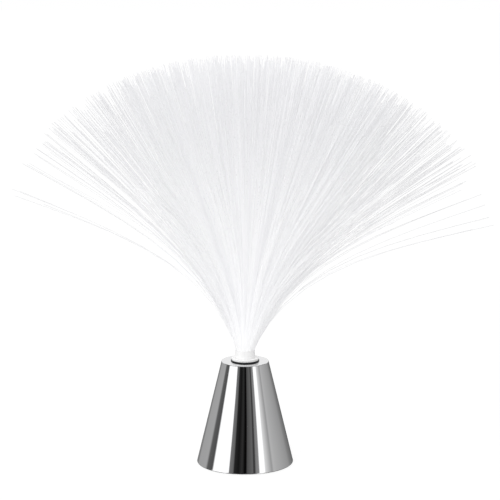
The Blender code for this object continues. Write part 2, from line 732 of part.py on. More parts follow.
def contact(name, side, low_x, high_x, terminal):
    """Sheet metal contact at one end of the trough, with a tab through the roof where it is a terminal."""
    near, far = side * CONTACT_FACE, side * (CONTACT_FACE + CONTACT_THICK)
    low_y, high_y = min(near, far), max(near, far)
    foot_z = CELL_HEIGHT - CONTACT_HEIGHT / 2
    top_z = CELL_HEIGHT + CONTACT_HEIGHT / 2
    piece = solid(name, block((low_x, low_y, foot_z), (high_x, high_y, top_z)), STEEL, smooth=False)
    if terminal:
        left = (low_x + high_x - TAB_WIDTH) / 2
        tab_top = TROUGH_TOP + TAB_HEIGHT
        join(piece, block((left, low_y, CELL_HEIGHT), (left + TAB_WIDTH, high_y, tab_top)))


def contacts():
    half = CONTACT_WIDTH / 2
    first, middle, last = (cell_x(index) for index in range(CELL_COUNT))
    contact("contact_positive", 1, first - half, first + half, terminal=True)
    contact("contact_link_front", -1, first - half, middle + half, terminal=False)
    contact("contact_link_back", 1, middle - half, last + half, terminal=False)
    contact("contact_negative", -1, last - half, last + half, terminal=True)


def contact_spring(index):
    """Conical coil between a cell's negative end and its contact."""
    side = cell_side(index)
    count = SPRING_TURNS * SPRING_TURN_POINTS
    start = CONTACT_FACE - GAP - SPRING_WIRE_RADIUS
    travel = SPRING_LENGTH - 2 * SPRING_WIRE_RADIUS
    points = []
    for step in range(count + 1):
        share = step / count
        radius = SPRING_WIDE_RADIUS + (SPRING_NARROW_RADIUS - SPRING_WIDE_RADIUS) * share
        x, z = polar(radius, math.tau * SPRING_TURNS * share)
        points.append((cell_x(index) + x, -side * (start - travel * share), CELL_HEIGHT + z))
    tube(f"contact_spring_{index + 1}", points, SPRING_WIRE_RADIUS, 1, STEEL)


def tube(name, points, radius, resolution, finish):
    """Round wire or lead along a list of points."""
    curve = bpy.data.curves.new(name, "CURVE")
    curve.dimensions = "3D"
    curve.bevel_depth = radius
    curve.bevel_resolution = resolution
    curve.use_fill_caps = True
    curve.resolution_u = 1
    curve.render_resolution_u = 0
    spline = curve.splines.new("POLY")
    spline.points.add(len(points) - 1)
    for target, point in zip(spline.points, points):
        target.co = (*point, 1)
    curve.materials.append(material(finish))
    bpy.context.scene.collection.objects.link(bpy.data.objects.new(name, curve))


def lead(name, start, end, end_rise, finish):
    """Hook-up lead on one smooth curve, upright at both ends. With a negative rise it ends from above."""
    a, d = Vector(start), Vector(end)
    b = a + Vector((0, 0, LEAD_RISE))
    c = d - Vector((0, 0, end_rise))
    points = []
    for step in range(LEAD_POINTS + 1):
        t = step / LEAD_POINTS
        s = 1 - t
        points.append(a * s**3 + b * 3 * s * s * t + c * 3 * s * t * t + d * t**3)
    tube(name, points, LEAD_RADIUS, 2, finish)


def leads():
    tab_top = TROUGH_TOP + TAB_HEIGHT + GAP
    tab_y = CONTACT_FACE + CONTACT_THICK / 2
    under_board = BOARD_BOTTOM - GAP
    lug_top = SWITCH_BOTTOM + SWITCH_HEIGHT + SWITCH_LUG + GAP
    positive = (cell_x(0), tab_y, tab_top)
    negative = (cell_x(CELL_COUNT - 1), -tab_y, tab_top)
    lug_in = (SWITCH_PLACE, SWITCH_LUG_PLACE, lug_top)
    lug_out = (SWITCH_PLACE, -SWITCH_LUG_PLACE, lug_top)
    pad_in = (RESISTOR_PLACE, -LEAD_PAD_SIDE, under_board)
    pad_back = (LEAD_PAD_SIDE, -RESISTOR_PLACE, under_board)
    lead("wire_supply", positive, lug_in, -LEAD_RISE, RED_LEAD)
    lead("wire_switched", lug_out, pad_in, LEAD_RISE, RED_LEAD)
    lead("wire_return", negative, pad_back, LEAD_RISE, BLACK_LEAD)


def switch_body():
    """Case with fixing ears and two solder lugs, open below where the stem comes through."""
    x, low = SWITCH_PLACE, SWITCH_BOTTOM
    half_x, half_y = SWITCH_WIDTH / 2, SWITCH_LENGTH / 2
    case = block((x - half_x, -half_y, low), (x + half_x, half_y, low + SWITCH_HEIGHT))
    body = solid("switch_body", case, STEEL, smooth=False)
    reach, side_x = half_y + SWITCH_EAR, half_x - SWITCH_WALL
    floor = low + SWITCH_EAR_THICK
    join(body, block((x - side_x, -reach, low), (x + side_x, reach, floor)))
    lug = SWITCH_LUG / 2
    top = low + SWITCH_HEIGHT
    lugs = []
    for y in (-SWITCH_LUG_PLACE, SWITCH_LUG_PLACE):
        lugs.append(block((x - lug, y - lug, top - SWITCH_WALL / 2), (x + lug, y + lug, top + SWITCH_LUG)))
    join(body, merged(lugs))
    room_x = SWITCH_SLIDER_WIDTH / 2 + GAP
    room_y = (SWITCH_SLIDER_LENGTH + SWITCH_TRAVEL) / 2 + GAP
    slot_x = SWITCH_STEM / 2 + GAP
    slot_y = (SWITCH_STEM + SWITCH_TRAVEL) / 2 + GAP
    levels = [
        (slot_x, slot_y, low - OVERRUN),
        (slot_x, slot_y, floor),
        (room_x, room_y, floor),
        (room_x, room_y, floor + SWITCH_SLIDER_HEIGHT + 2 * GAP),
    ]
    hollow = stepped_block(levels)
    bmesh.ops.translate(hollow, verts=hollow.verts, vec=(x, 0, 0))
    cut(body, hollow)
    hole = SMALL_SHANK_RADIUS + GAP
    holes = [rod(hole, low - OVERRUN, floor + OVERRUN, TINY_STEPS, place) for place in ear_places()]
    cut(body, merged(holes))


def switch_screws():
    """Screws through the ears into the plate, with their heads on the ears."""
    seat = SWITCH_BOTTOM + SWITCH_EAR_THICK + GAP
    for index, place in enumerate(ear_places()):
        piece = screw(
            f"switch_screw_{index + 1}", (*place, seat), EAR_HEAD_RADIUS, SMALL_HEAD_HEIGHT,
            SMALL_SHANK_RADIUS, EAR_SCREW_LENGTH, cross=False,
        )
        piece.rotation_euler = (math.pi, 0, 0)


def base_body():
    cone_shell()
    socket_bush()
    bush_nut()
    led_housing()
    lens_window()
    led_board()
    led("led_red", 0, RED_EMITTER)
    led("led_green", 1, GREEN_EMITTER)
    led("led_blue", 2, BLUE_EMITTER)
    controller_blob()
    resistor("resistor_1", -1)
    resistor("resistor_2", 1)
    for index, side in enumerate((-1, 1)):
        place = (side * BOARD_SCREW_PLACE, 0, BOARD_BOTTOM - GAP)
        screw(
            f"board_screw_{index + 1}", place, SMALL_HEAD_RADIUS, SMALL_HEAD_HEIGHT, SMALL_SHANK_RADIUS,
            SMALL_SCREW_LENGTH, cross=False,
        )
    base_plate()
    for index, angle in enumerate(PLATE_SCREW_ANGLES):
        place = (*polar(BOSS_PLACE, angle), SHELL_FOOT + SCREW_HEAD_HEIGHT + GAP)
        screw(
            f"plate_screw_{index + 1}", place, SCREW_HEAD_RADIUS, SCREW_HEAD_HEIGHT, SCREW_SHANK_RADIUS,
            SCREW_LENGTH, cross=True,
        )
    for index, place in enumerate(foot_places()):
        foot(f"foot_{index + 1}", place)
    for index in range(CELL_COUNT):
        battery_cell(index)
        contact_spring(index)
    contacts()
    switch_body()
    switch_screws()
    leads()


# Door and knob


def battery_door():
    """Lid in its recess. Its origin is on the hinge line, at the lower edge of the end with the tabs."""
    length = 2 * DOOR_HALF_LENGTH
    lid = block((-DOOR_HALF_WIDTH, 0, 0), (DOOR_HALF_WIDTH, length, DOOR_THICK))
    door = solid("battery_door", lid, BLACK_PLASTIC, smooth=False)
    door.location = HINGE
    low = DOOR_THICK - DOOR_TAB_THICK
    tabs, slits = [], []
    for side in (-1, 1):
        left = side * DOOR_TAB_PLACE - DOOR_TAB_WIDTH / 2
        right = left + DOOR_TAB_WIDTH
        tabs.append(block((left, -DOOR_TAB_REACH, low), (right, DOOR_TAB_REACH, DOOR_THICK)))
        left = (side * LATCH_WIDTH - LATCH_SLIT) / 2
        right = left + LATCH_SLIT
        top = DOOR_THICK + OVERRUN
        slits.append(block((left, length - LATCH_LENGTH, -OVERRUN), (right, length + OVERRUN, top)))
    join(door, merged(tabs))
    cut(door, merged(slits))
    half = LATCH_WIDTH / 2 - LATCH_SLIT - GRIP_WIDTH
    grooves = []
    for index in range(GRIP_COUNT):
        y = length - GRIP_WIDTH - 2 * GRIP_WIDTH * index
        grooves.append(block((-half, y - GRIP_WIDTH, -OVERRUN), (half, y, GRIP_DEPTH)))
    cut(door, merged(grooves))


def switch_knob():
    """Thumb piece, stem and slider in one. It rests at the off end, towards -Y."""
    pocket_floor = SHELL_FOOT + POCKET_DEPTH
    slider_low = SWITCH_BOTTOM + SWITCH_EAR_THICK + GAP
    stem = SWITCH_STEM / 2
    slider = (SWITCH_SLIDER_WIDTH / 2, SWITCH_SLIDER_LENGTH / 2)
    levels = [
        (KNOB_WIDTH / 2, KNOB_LENGTH / 2, KNOB_CLEAR),
        (KNOB_WIDTH / 2, KNOB_LENGTH / 2, pocket_floor - GAP),
        (stem, stem, pocket_floor - GAP),
        (stem, stem, slider_low),
        (*slider, slider_low),
        (*slider, slider_low + SWITCH_SLIDER_HEIGHT),
    ]
    knob = solid("switch_knob", stepped_block(levels), BLACK_PLASTIC, smooth=False)
    knob.location = (SWITCH_PLACE, -SWITCH_TRAVEL / 2, 0)
    across = KNOB_WIDTH / 2 + OVERRUN
    grooves = []
    for place in (-1, 0, 1):
        low = 2 * place * KNOB_GROOVE - KNOB_GROOVE / 2
        high = low + KNOB_GROOVE
        grooves.append(block((-across, low, KNOB_CLEAR - OVERRUN), (across, high, KNOB_CLEAR + KNOB_GROOVE)))
    cut(knob, merged(grooves))


# Head: collar, sleeve and fibres


def collar():
    """White flanged tube that drops into the bush."""
    edge = COLLAR_EDGE
    outline = [
        (COLLAR_INNER, COLLAR_TOP),
        (COLLAR_FLANGE_RADIUS - edge, COLLAR_TOP),
        (COLLAR_FLANGE_RADIUS, COLLAR_TOP - edge),
        (COLLAR_FLANGE_RADIUS, COLLAR_SEAT),
        (COLLAR_OUTER, COLLAR_SEAT),
        (COLLAR_OUTER, COLLAR_SEAT - COLLAR_DEPTH),
        (COLLAR_INNER, COLLAR_SEAT - COLLAR_DEPTH),
    ]
    return solid("collar", turned(outline, ROUND_STEPS), WHITE_PLASTIC)


def bundle_sleeve():
    outline = [
        (SLEEVE_INNER, SLEEVE_TOP),
        (SLEEVE_OUTER, SLEEVE_TOP),
        (SLEEVE_OUTER, SLEEVE_BOTTOM),
        (SLEEVE_INNER, SLEEVE_BOTTOM),
    ]
    return solid("bundle_sleeve", turned(outline, ROUND_STEPS), WHITE_PLASTIC)


def strand_angle(share, root_angle, tip_angle):
    """Lean of a strand from upright at a share of its length: it droops most near its root."""
    droop = 1 - (1 - share) ** FIBRE_DROOP_POWER
    return root_angle + (tip_angle - root_angle) * droop


def strand_station(start, root_angle, tip_angle, length, share):
    """Radius, height and lean of a strand at a share of its length, summed along it."""
    radius, height = start
    stride = length * share / FIBRE_SUM_STEPS
    for step in range(FIBRE_SUM_STEPS):
        lean = strand_angle(share * (step + 0.5) / FIBRE_SUM_STEPS, root_angle, tip_angle)
        radius += math.sin(lean) * stride
        height += math.cos(lean) * stride
    return radius, height, strand_angle(share, root_angle, tip_angle)


def wedge_sheet(mesh, top, bottom):
    """Slice of the bundle as a closed solid.

    Returns the faces of its top that strands grow from, and for each whether it is outmost and a widest one.
    """
    opening = math.tau / FIBRE_SECTORS
    shift = GAP / 2 / math.sin(opening / 2)
    outer = BUNDLE_RADIUS - shift
    rings = []
    for ring in range(FIBRE_RINGS + 1):
        row = []
        for place in range(ring + 1):
            angle = opening * (place / ring - 0.5) if ring else 0
            x, y = polar(outer * ring / FIBRE_RINGS, angle)
            row.append(mesh.verts.new((x + shift, y, top)))
        rings.append(row)
    roots = []
    for ring, (row, following) in enumerate(zip(rings, rings[1:])):
        for place in range(ring + 1):
            root = mesh.faces.new((row[place], following[place], following[place + 1]))
            outmost = ring == FIBRE_RINGS - 1
            roots.append((root, outmost, outmost and place % FIBRE_STRAY_EVERY == 0))
            if place < ring:
                mesh.faces.new((row[place], following[place + 1], row[place + 1]))
    tip = mesh.verts.new((shift, 0, bottom))
    arc_low = [mesh.verts.new((v.co.x, v.co.y, bottom)) for v in rings[-1]]
    for row, following in zip(rings, rings[1:]):
        mesh.faces.new((tip, following[0], row[0]))
        mesh.faces.new((tip, row[-1], following[-1]))
    mesh.faces.new((tip, arc_low[0], rings[-1][0]))
    mesh.faces.new((tip, rings[-1][-1], arc_low[-1]))
    for place in range(FIBRE_RINGS):
        mesh.faces.new((rings[-1][place], arc_low[place], arc_low[place + 1], rings[-1][place + 1]))
    mesh.faces.new([tip] + arc_low[::-1])
    return roots


def grow_strand(mesh, root, outmost, widest, draw):
    """Extrudes a root face of the bundle along its strand, a three-sided section that leans outward."""
    centre = root.calc_center_median()
    place_radius = math.hypot(centre.x, centre.y)
    share = place_radius / BUNDLE_RADIUS
    heading = math.atan2(centre.y, centre.x)
    root_angle = FIBRE_ROOT_SHARE * FIBRE_SPREAD * share
    tip_angle = FIBRE_SPREAD * share + FIBRE_FRINGE * share**FIBRE_FRINGE_POWER
    if widest:
        tip_angle = FIBRE_STRAY
    elif outmost:
        tip_angle += (FIBRE_STRAY - tip_angle) * draw.random() ** 2
    else:
        tip_angle *= 1 + (draw.random() - 0.5) * FIBRE_UNEVEN_SHARE
    shortfall = 0 if widest else FIBRE_SHORT_SHARE * draw.random() ** 2
    length = FIBRE_LENGTH * (1 - shortfall)
    across = Vector((-math.sin(heading), math.cos(heading), 0))
    outward = Vector((math.cos(heading), math.sin(heading), 0))
    corners = []
    for loop in root.loops:
        offset = (loop.vert.co - centre).normalized()
        corners.append((offset.dot(outward), offset.dot(across)))
    face = root
    for station in FIBRE_STATIONS_SHARES:
        radius, height, lean = strand_station(
            (place_radius, centre.z), root_angle, tip_angle, length, station
        )
        width = FIBRE_SIDE_RADIUS + (FIBRE_TIP_RADIUS - FIBRE_SIDE_RADIUS) * station
        middle = outward * radius + Vector((0, 0, height))
        square = outward * math.cos(lean) - Vector((0, 0, math.sin(lean)))
        face = bmesh.ops.extrude_discrete_faces(mesh, faces=[face])["faces"][0]
        for loop, (out, side) in zip(face.loops, corners):
            loop.vert.co = middle + square * out * width + across * side * width


def fibre_sector(index):
    """One slice of the bundle, from its polished lower end to the tips of its strands."""
    mesh = bmesh.new()
    draw = random.Random(FIBRE_SEED)
    for root, outmost, widest in wedge_sheet(mesh, SLEEVE_TOP, SLEEVE_BOTTOM + GAP):
        grow_strand(mesh, root, outmost, widest, draw)
    turn = Matrix.Rotation(math.tau * index / FIBRE_SECTORS, 3, "Z")
    bmesh.ops.rotate(mesh, verts=mesh.verts, cent=(0, 0, 0), matrix=turn)
    return solid(f"fibre_sector_{index + 1}", mesh, FIBRE)


def head_body():
    """Collar, sleeve and fibres under one empty on the axis that they lift and turn on."""
    axis = bpy.data.objects.new("head_axis", None)
    bpy.context.scene.collection.objects.link(axis)
    pieces = [collar(), bundle_sleeve()]
    pieces += [fibre_sector(index) for index in range(FIBRE_SECTORS)]
    for piece in pieces:
        piece.parent = axis


clear_scene()
base_body()
battery_door()
switch_knob()
head_body()
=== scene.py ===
import math
import random

import bmesh
import bpy
from mathutils import Matrix, Vector


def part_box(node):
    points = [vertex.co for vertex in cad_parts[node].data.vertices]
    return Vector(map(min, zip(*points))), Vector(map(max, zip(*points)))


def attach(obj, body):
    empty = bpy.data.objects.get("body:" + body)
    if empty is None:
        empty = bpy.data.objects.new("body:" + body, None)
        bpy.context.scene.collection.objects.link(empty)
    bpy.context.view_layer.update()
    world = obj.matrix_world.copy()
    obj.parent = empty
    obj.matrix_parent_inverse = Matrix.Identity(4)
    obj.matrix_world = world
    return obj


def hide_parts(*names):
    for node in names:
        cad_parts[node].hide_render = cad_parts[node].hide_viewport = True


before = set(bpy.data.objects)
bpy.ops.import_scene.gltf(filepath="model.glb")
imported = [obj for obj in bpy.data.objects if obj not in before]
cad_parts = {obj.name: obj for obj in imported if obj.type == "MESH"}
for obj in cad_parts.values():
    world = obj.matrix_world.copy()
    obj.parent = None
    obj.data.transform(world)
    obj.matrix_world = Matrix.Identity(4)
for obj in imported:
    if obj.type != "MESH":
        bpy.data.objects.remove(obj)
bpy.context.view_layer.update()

scene = bpy.context.scene
scene.view_settings.view_transform = "Standard"


# Camera. The lamp is seen from the front and a little above, with a long lens. The cone shows a
# narrow strip of its top, and the spray spreads over most of the picture.
CAMERA_RISE = math.radians(11.35)
CAMERA_REACH = 1.8
CAMERA_AIM = Vector((0.0040, 0, 0.1762))
LENS_LENGTH = 161.8
SENSOR_WIDTH = 36

lens = bpy.data.cameras.new("camera")
lens.lens = LENS_LENGTH
lens.sensor_width = SENSOR_WIDTH
camera = bpy.data.objects.new("camera", lens)
toward_camera = Vector((0, -math.cos(CAMERA_RISE), math.sin(CAMERA_RISE)))
camera.location = CAMERA_AIM + CAMERA_REACH * toward_camera
camera.rotation_euler = (math.pi / 2 - CAMERA_RISE, 0, 0)
scene.collection.objects.link(camera)
scene.camera = camera


# Studio. A white room with one large soft lamp at the upper left. Rays that come from the camera,
# or off metal and glass, meet plain white, and the light on the lamp itself stays a little lower.
ROOM_LIGHT = 0.90
LAMP_SIDE = 1.6
LAMP_PLACE = Vector((-1.3, -1.5, 1.9))
LAMP_AIM = Vector((0, 0, 0.15))
LAMP_POWER = 26

room = bpy.data.worlds.new("white_room")
room.use_nodes = True
scene.world = room
nodes, links = room.node_tree.nodes, room.node_tree.links
nodes.clear()
seen = nodes.new("ShaderNodeBackground")
seen.inputs["Color"].default_value = (1, 1, 1, 1)
seen.inputs["Strength"].default_value = 1
unseen = nodes.new("ShaderNodeBackground")
unseen.inputs["Color"].default_value = (1, 1, 1, 1)
unseen.inputs["Strength"].default_value = ROOM_LIGHT
path = nodes.new("ShaderNodeLightPath")
camera_or_gloss = nodes.new("ShaderNodeMath")
camera_or_gloss.operation = "MAXIMUM"
any_seen = nodes.new("ShaderNodeMath")
any_seen.operation = "MAXIMUM"
blend = nodes.new("ShaderNodeMixShader")
out = nodes.new("ShaderNodeOutputWorld")
links.new(path.outputs["Is Camera Ray"], camera_or_gloss.inputs[0])
links.new(path.outputs["Is Glossy Ray"], camera_or_gloss.inputs[1])
links.new(camera_or_gloss.outputs[0], any_seen.inputs[0])
links.new(path.outputs["Is Transmission Ray"], any_seen.inputs[1])
links.new(any_seen.outputs[0], blend.inputs["Fac"])
links.new(unseen.outputs[0], blend.inputs[1])
links.new(seen.outputs[0], blend.inputs[2])
links.new(blend.outputs[0], out.inputs["Surface"])

lamp_light = bpy.data.lights.new("soft_lamp", "AREA")
lamp_light.size = LAMP_SIDE
lamp_light.energy = LAMP_POWER
soft_lamp = bpy.data.objects.new("soft_lamp", lamp_light)
soft_lamp.location = LAMP_PLACE
soft_lamp.rotation_euler = (LAMP_AIM - LAMP_PLACE).to_track_quat("-Z", "Y").to_euler()
soft_lamp.visible_glossy = False
scene.collection.objects.link(soft_lamp)


# Floor. A wide pale sheet: the camera sees it nearly as white as the room, and it keeps the faint
# shadow where the base and its feet touch it.
FLOOR_SIDE = 8.0
FLOOR_GREY = 0.85
FLOOR_SHADOW_SHARE = 0.16
FLOOR_GLOW = 1.06

sheet = bmesh.new()
bmesh.ops.create_grid(sheet, x_segments=1, y_segments=1, size=FLOOR_SIDE / 2)
floor_data = bpy.data.meshes.new("floor")
sheet.to_mesh(floor_data)
sheet.free()
floor = bpy.data.objects.new("floor", floor_data)
scene.collection.objects.link(floor)
floor.visible_glossy = False
paper = bpy.data.materials.new("pale_floor")
paper.use_nodes = True
nodes, links = paper.node_tree.nodes, paper.node_tree.links
nodes.clear()
matt = nodes.new("ShaderNodeBsdfDiffuse")
matt.inputs["Color"].default_value = (FLOOR_GREY, FLOOR_GREY, FLOOR_GREY, 1)
glow = nodes.new("ShaderNodeEmission")
glow.inputs["Strength"].default_value = FLOOR_GLOW
shadowed = nodes.new("ShaderNodeMixShader")
shadowed.inputs["Fac"].default_value = FLOOR_SHADOW_SHARE
path = nodes.new("ShaderNodeLightPath")
shown = nodes.new("ShaderNodeMixShader")
out = nodes.new("ShaderNodeOutputMaterial")
links.new(glow.outputs[0], shadowed.inputs[1])
links.new(matt.outputs[0], shadowed.inputs[2])
links.new(path.outputs["Is Camera Ray"], shown.inputs["Fac"])
links.new(matt.outputs[0], shown.inputs[1])
links.new(shadowed.outputs[0], shown.inputs[2])
links.new(shown.outputs[0], out.inputs["Surface"])
floor_data.materials.append(paper)


# Cards. A round screen of black, grey and white boards stands about the set, dark along its foot,
# with a second row of boards above, a white canopy over it and a grey board hung over the front.
# Only polished surfaces show them: they are the bands and the bright and dark edges in the chrome.
SCREEN_RADIUS = 1.2
SCREEN_LOW = -2.0
SCREEN_HIGH = 1.25
SCREEN_STEPS = 96
EDGE_LOW = 0.30  # height of the second row's lower edge at the sides
EDGE_SLANT = 0.10  # how much lower that edge is for each metre towards the back
EDGE_BLUR = 0.01
DARK_BELOW = (-0.62, -0.45)  # heights over which the boards turn from dark to light
DARK_GLOW = 0.02
CARD_GLOW = 1.30
SCREEN_GAMMA = 2.2
CARD_TONES = (
    (-180, 94), (-140, 122), (-134, 150), (-99, 156), (-93, 88), (-78, 76), (-74.5, 255),
    (-36.5, 255), (-35.5, 112), (-26, 95), (-24.5, 40), (-14, 27), (-6, 48), (0, 16), (5, 16),
    (6, 72), (20, 96), (22, 56), (26, 62), (27.5, 120), (35.5, 130), (37, 255), (50, 255),
    (52, 208), (64, 168), (70, 144), (75, 172), (84, 164), (132, 140), (144, 120), (180, 82),
)  # turn from the front in degrees, towards +X, and the tone out of 255
CARD_LEVEL = 0.28  # height where the boards' edges stand at the turns above
CARD_LEAN = math.radians(23)  # turn of those edges for each metre downwards from that height
CARD_LEAN_SPAN = 0.4  # how far down the turn goes on
EDGE_TONES = (
    (-180, 222), (-128, 222), (-120, 70), (-42, 70), (-36, 125), (36, 125), (42, 80), (120, 80),
    (128, 222), (180, 222),
)
CANOPY_HEIGHT = 1.30
CANOPY_RADIUS = 1.35
FRONT_BOARD_DROP = 0.02
FRONT_BOARD = ((-0.25, 0.5), (0.25, 0.5), (0.9, -1.2), (-0.9, -1.2))
FRONT_BOARD_TONE = 0.25


def stage_glow(name, mesh, material):
    """A board that only polished surfaces can see."""
    data = bpy.data.meshes.new(name)
    mesh.to_mesh(data)
    mesh.free()
    data.materials.append(material)
    material.cycles.emission_sampling = "NONE"
    board = bpy.data.objects.new(name, data)
    scene.collection.objects.link(board)
    board.visible_camera = False
    board.visible_diffuse = False
    board.visible_transmission = False
    board.visible_shadow = False


def plain_glow(name, strength):
    """A board's even light."""
    material = bpy.data.materials.new(name)
    material.use_nodes = True
    nodes, links = material.node_tree.nodes, material.node_tree.links
    nodes.clear()
    light = nodes.new("ShaderNodeEmission")
    light.inputs["Strength"].default_value = strength
    out = nodes.new("ShaderNodeOutputMaterial")
    links.new(light.outputs[0], out.inputs["Surface"])
    return material


canopy = bmesh.new()
bmesh.ops.create_circle(canopy, cap_ends=True, segments=SCREEN_STEPS, radius=CANOPY_RADIUS)
bmesh.ops.translate(canopy, verts=canopy.verts, vec=(0, 0, CANOPY_HEIGHT))
stage_glow("canopy", canopy, plain_glow("canopy_white", CARD_GLOW))
front = bmesh.new()
board_height = CANOPY_HEIGHT - FRONT_BOARD_DROP
front.faces.new([front.verts.new((x, y, board_height)) for x, y in FRONT_BOARD])
stage_glow("front_board", front, plain_glow("board_grey", FRONT_BOARD_TONE))

wall = bmesh.new()
bmesh.ops.create_cone(wall, cap_ends=False, segments=SCREEN_STEPS, radius1=SCREEN_RADIUS,
                      radius2=SCREEN_RADIUS, depth=SCREEN_HIGH - SCREEN_LOW)
bmesh.ops.translate(wall, verts=wall.verts, vec=(0, 0, (SCREEN_HIGH + SCREEN_LOW) / 2))
boards = bpy.data.materials.new("card_boards")
boards.use_nodes = True
nodes, links = boards.node_tree.nodes, boards.node_tree.links
nodes.clear()
place = nodes.new("ShaderNodeTexCoord")
split = nodes.new("ShaderNodeSeparateXYZ")
back = nodes.new("ShaderNodeMath")
back.operation = "MULTIPLY"
back.inputs[1].default_value = -1
turn = nodes.new("ShaderNodeMath")
turn.operation = "ARCTAN2"
lean = nodes.new("ShaderNodeMapRange")
lean.inputs["From Min"].default_value = CARD_LEVEL - CARD_LEAN_SPAN
lean.inputs["From Max"].default_value = CARD_LEVEL
lean.inputs["To Min"].default_value = CARD_LEAN_SPAN * CARD_LEAN
lean.inputs["To Max"].default_value = 0
leaning = nodes.new("ShaderNodeMath")
share = nodes.new("ShaderNodeMapRange")
share.inputs["From Min"].default_value = -math.pi
share.inputs["From Max"].default_value = math.pi
slanted = nodes.new("ShaderNodeVectorMath")
slanted.operation = "DOT_PRODUCT"
slanted.inputs[1].default_value = (0, EDGE_SLANT, 1)
above = nodes.new("ShaderNodeMapRange")
above.inputs["From Min"].default_value = EDGE_LOW - EDGE_BLUR
above.inputs["From Max"].default_value = EDGE_LOW + EDGE_BLUR
lit = nodes.new("ShaderNodeMapRange")
lit.inputs["From Min"].default_value = DARK_BELOW[0]
lit.inputs["From Max"].default_value = DARK_BELOW[1]
lit.inputs["To Min"].default_value = DARK_GLOW
lit.inputs["To Max"].default_value = CARD_GLOW
bands = nodes.new("ShaderNodeValToRGB")
edge = nodes.new("ShaderNodeValToRGB")
chosen = nodes.new("ShaderNodeMix")
chosen.data_type = "RGBA"
glow = nodes.new("ShaderNodeEmission")
out = nodes.new("ShaderNodeOutputMaterial")
links.new(place.outputs["Object"], split.inputs[0])
links.new(split.outputs["Y"], back.inputs[0])
links.new(split.outputs["X"], turn.inputs[0])
links.new(back.outputs[0], turn.inputs[1])
links.new(split.outputs["Z"], lean.inputs["Value"])
links.new(turn.outputs[0], leaning.inputs[0])
links.new(lean.outputs["Result"], leaning.inputs[1])
links.new(leaning.outputs[0], share.inputs["Value"])
links.new(share.outputs["Result"], bands.inputs["Fac"])
links.new(share.outputs["Result"], edge.inputs["Fac"])
for ramp, tones in ((bands.color_ramp, CARD_TONES), (edge.color_ramp, EDGE_TONES)):
    for index, (degrees, tone) in enumerate(tones):
        stop = ramp.elements[index] if index < 2 else ramp.elements.new(1)
        stop.position = (degrees + 180) / 360
        level = (tone / 255) ** SCREEN_GAMMA
        stop.color = (level, level, level, 1)
links.new(place.outputs["Object"], slanted.inputs[0])
links.new(slanted.outputs["Value"], above.inputs["Value"])
links.new(split.outputs["Z"], lit.inputs["Value"])
links.new(above.outputs["Result"], chosen.inputs["Factor"])
links.new(bands.outputs["Color"], chosen.inputs["A"])
links.new(edge.outputs["Color"], chosen.inputs["B"])
links.new(chosen.outputs["Result"], glow.inputs["Color"])
links.new(lit.outputs["Result"], glow.inputs["Strength"])
links.new(glow.outputs[0], out.inputs["Surface"])
stage_glow("screen", wall, boards)


# Cone shell. A cone with a flat top, plated with bright chrome inside and out. Its foot and rim
# have small rounds, and three bosses inside take the screws that hold the base plate.
MM = 0.001  # a millimetre in metres
CONE_FOOT = (39.2 * MM, 0.8 * MM)
CONE_HEAD = (19.0 * MM, 85.0 * MM)
CONE_WALL = 1.6 * MM
CONE_HOLE = 10.1 * MM
RIM_ROUND = 0.4 * MM
FOOT_ROUND = 0.7 * MM
HOLE_ROUND = 0.2 * MM
CONE_STEPS = 256
BOSS_PLACE = 30.2 * MM
BOSS_RADIUS = 3.2 * MM
BOSS_HOLE = 1.0 * MM
BOSS_SPAN = (4.1 * MM, 16.0 * MM)
BOSS_BORE_SHARE = 0.8
BOSS_STEPS = 48
BOSS_TURNS = (90, 180, 270)
ROUND_STEPS = 5
LONG_EDGE = 2 * MM
EDGE_GUARD = 0.25 * MM  # short faces beside the corners, so that long ones shade evenly
MERGE_REACH = 0.01 * MM
SHARP_ANGLE = math.radians(35)
NOISE_DETAIL = 5
TONE_SPAN = (0.32, 0.68)  # part of the noise that runs from the dark to the light tone
ROUGH_SPAN = (0.3, 0.7)  # part of the noise that runs from the low to the high roughness


def turned(outline, rounds, steps):
    """Turn a closed outline of (radius, height) points about Z; rounds gives corners their bevel."""
    mesh = bmesh.new()
    corners = [mesh.verts.new((radius, 0, height)) for radius, height in outline]
    for first, second in zip(corners, corners[1:] + corners[:1]):
        mesh.edges.new((first, second))
    for index, size in rounds.items():
        bmesh.ops.bevel(mesh, geom=[corners[index]], offset=size, offset_type="OFFSET",
                        affect="VERTICES", segments=ROUND_STEPS, profile=0.5, material=-1)
    for edge in [edge for edge in mesh.edges if edge.calc_length() > LONG_EDGE]:
        length = edge.calc_length()
        start, end = edge.verts
        bmesh.utils.edge_split(edge, start, EDGE_GUARD / length)
        long_part = max(end.link_edges, key=lambda part: part.calc_length())
        bmesh.utils.edge_split(long_part, end, EDGE_GUARD / long_part.calc_length())
    bmesh.ops.spin(mesh, geom=mesh.verts[:] + mesh.edges[:], cent=(0, 0, 0), axis=(0, 0, 1),
                   steps=steps, angle=2 * math.pi, use_merge=True)
    bmesh.ops.remove_doubles(mesh, verts=mesh.verts, dist=MERGE_REACH)
    bmesh.ops.recalc_face_normals(mesh, faces=mesh.faces)
    return mesh


def piece(name, mesh, material, body, slot, *nodes_replaced):
    """Make a finished piece of a mesh, smooth but for its sharp corners, on its body."""
    data = bpy.data.meshes.new(name)
    mesh.to_mesh(data)
    mesh.free()
    data.shade_smooth()
    data.set_sharp_from_angle(angle=SHARP_ANGLE)
    data.materials.append(material)
    thing = bpy.data.objects.new(name, data)
    scene.collection.objects.link(thing)
    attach(thing, body)
    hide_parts(*nodes_replaced)


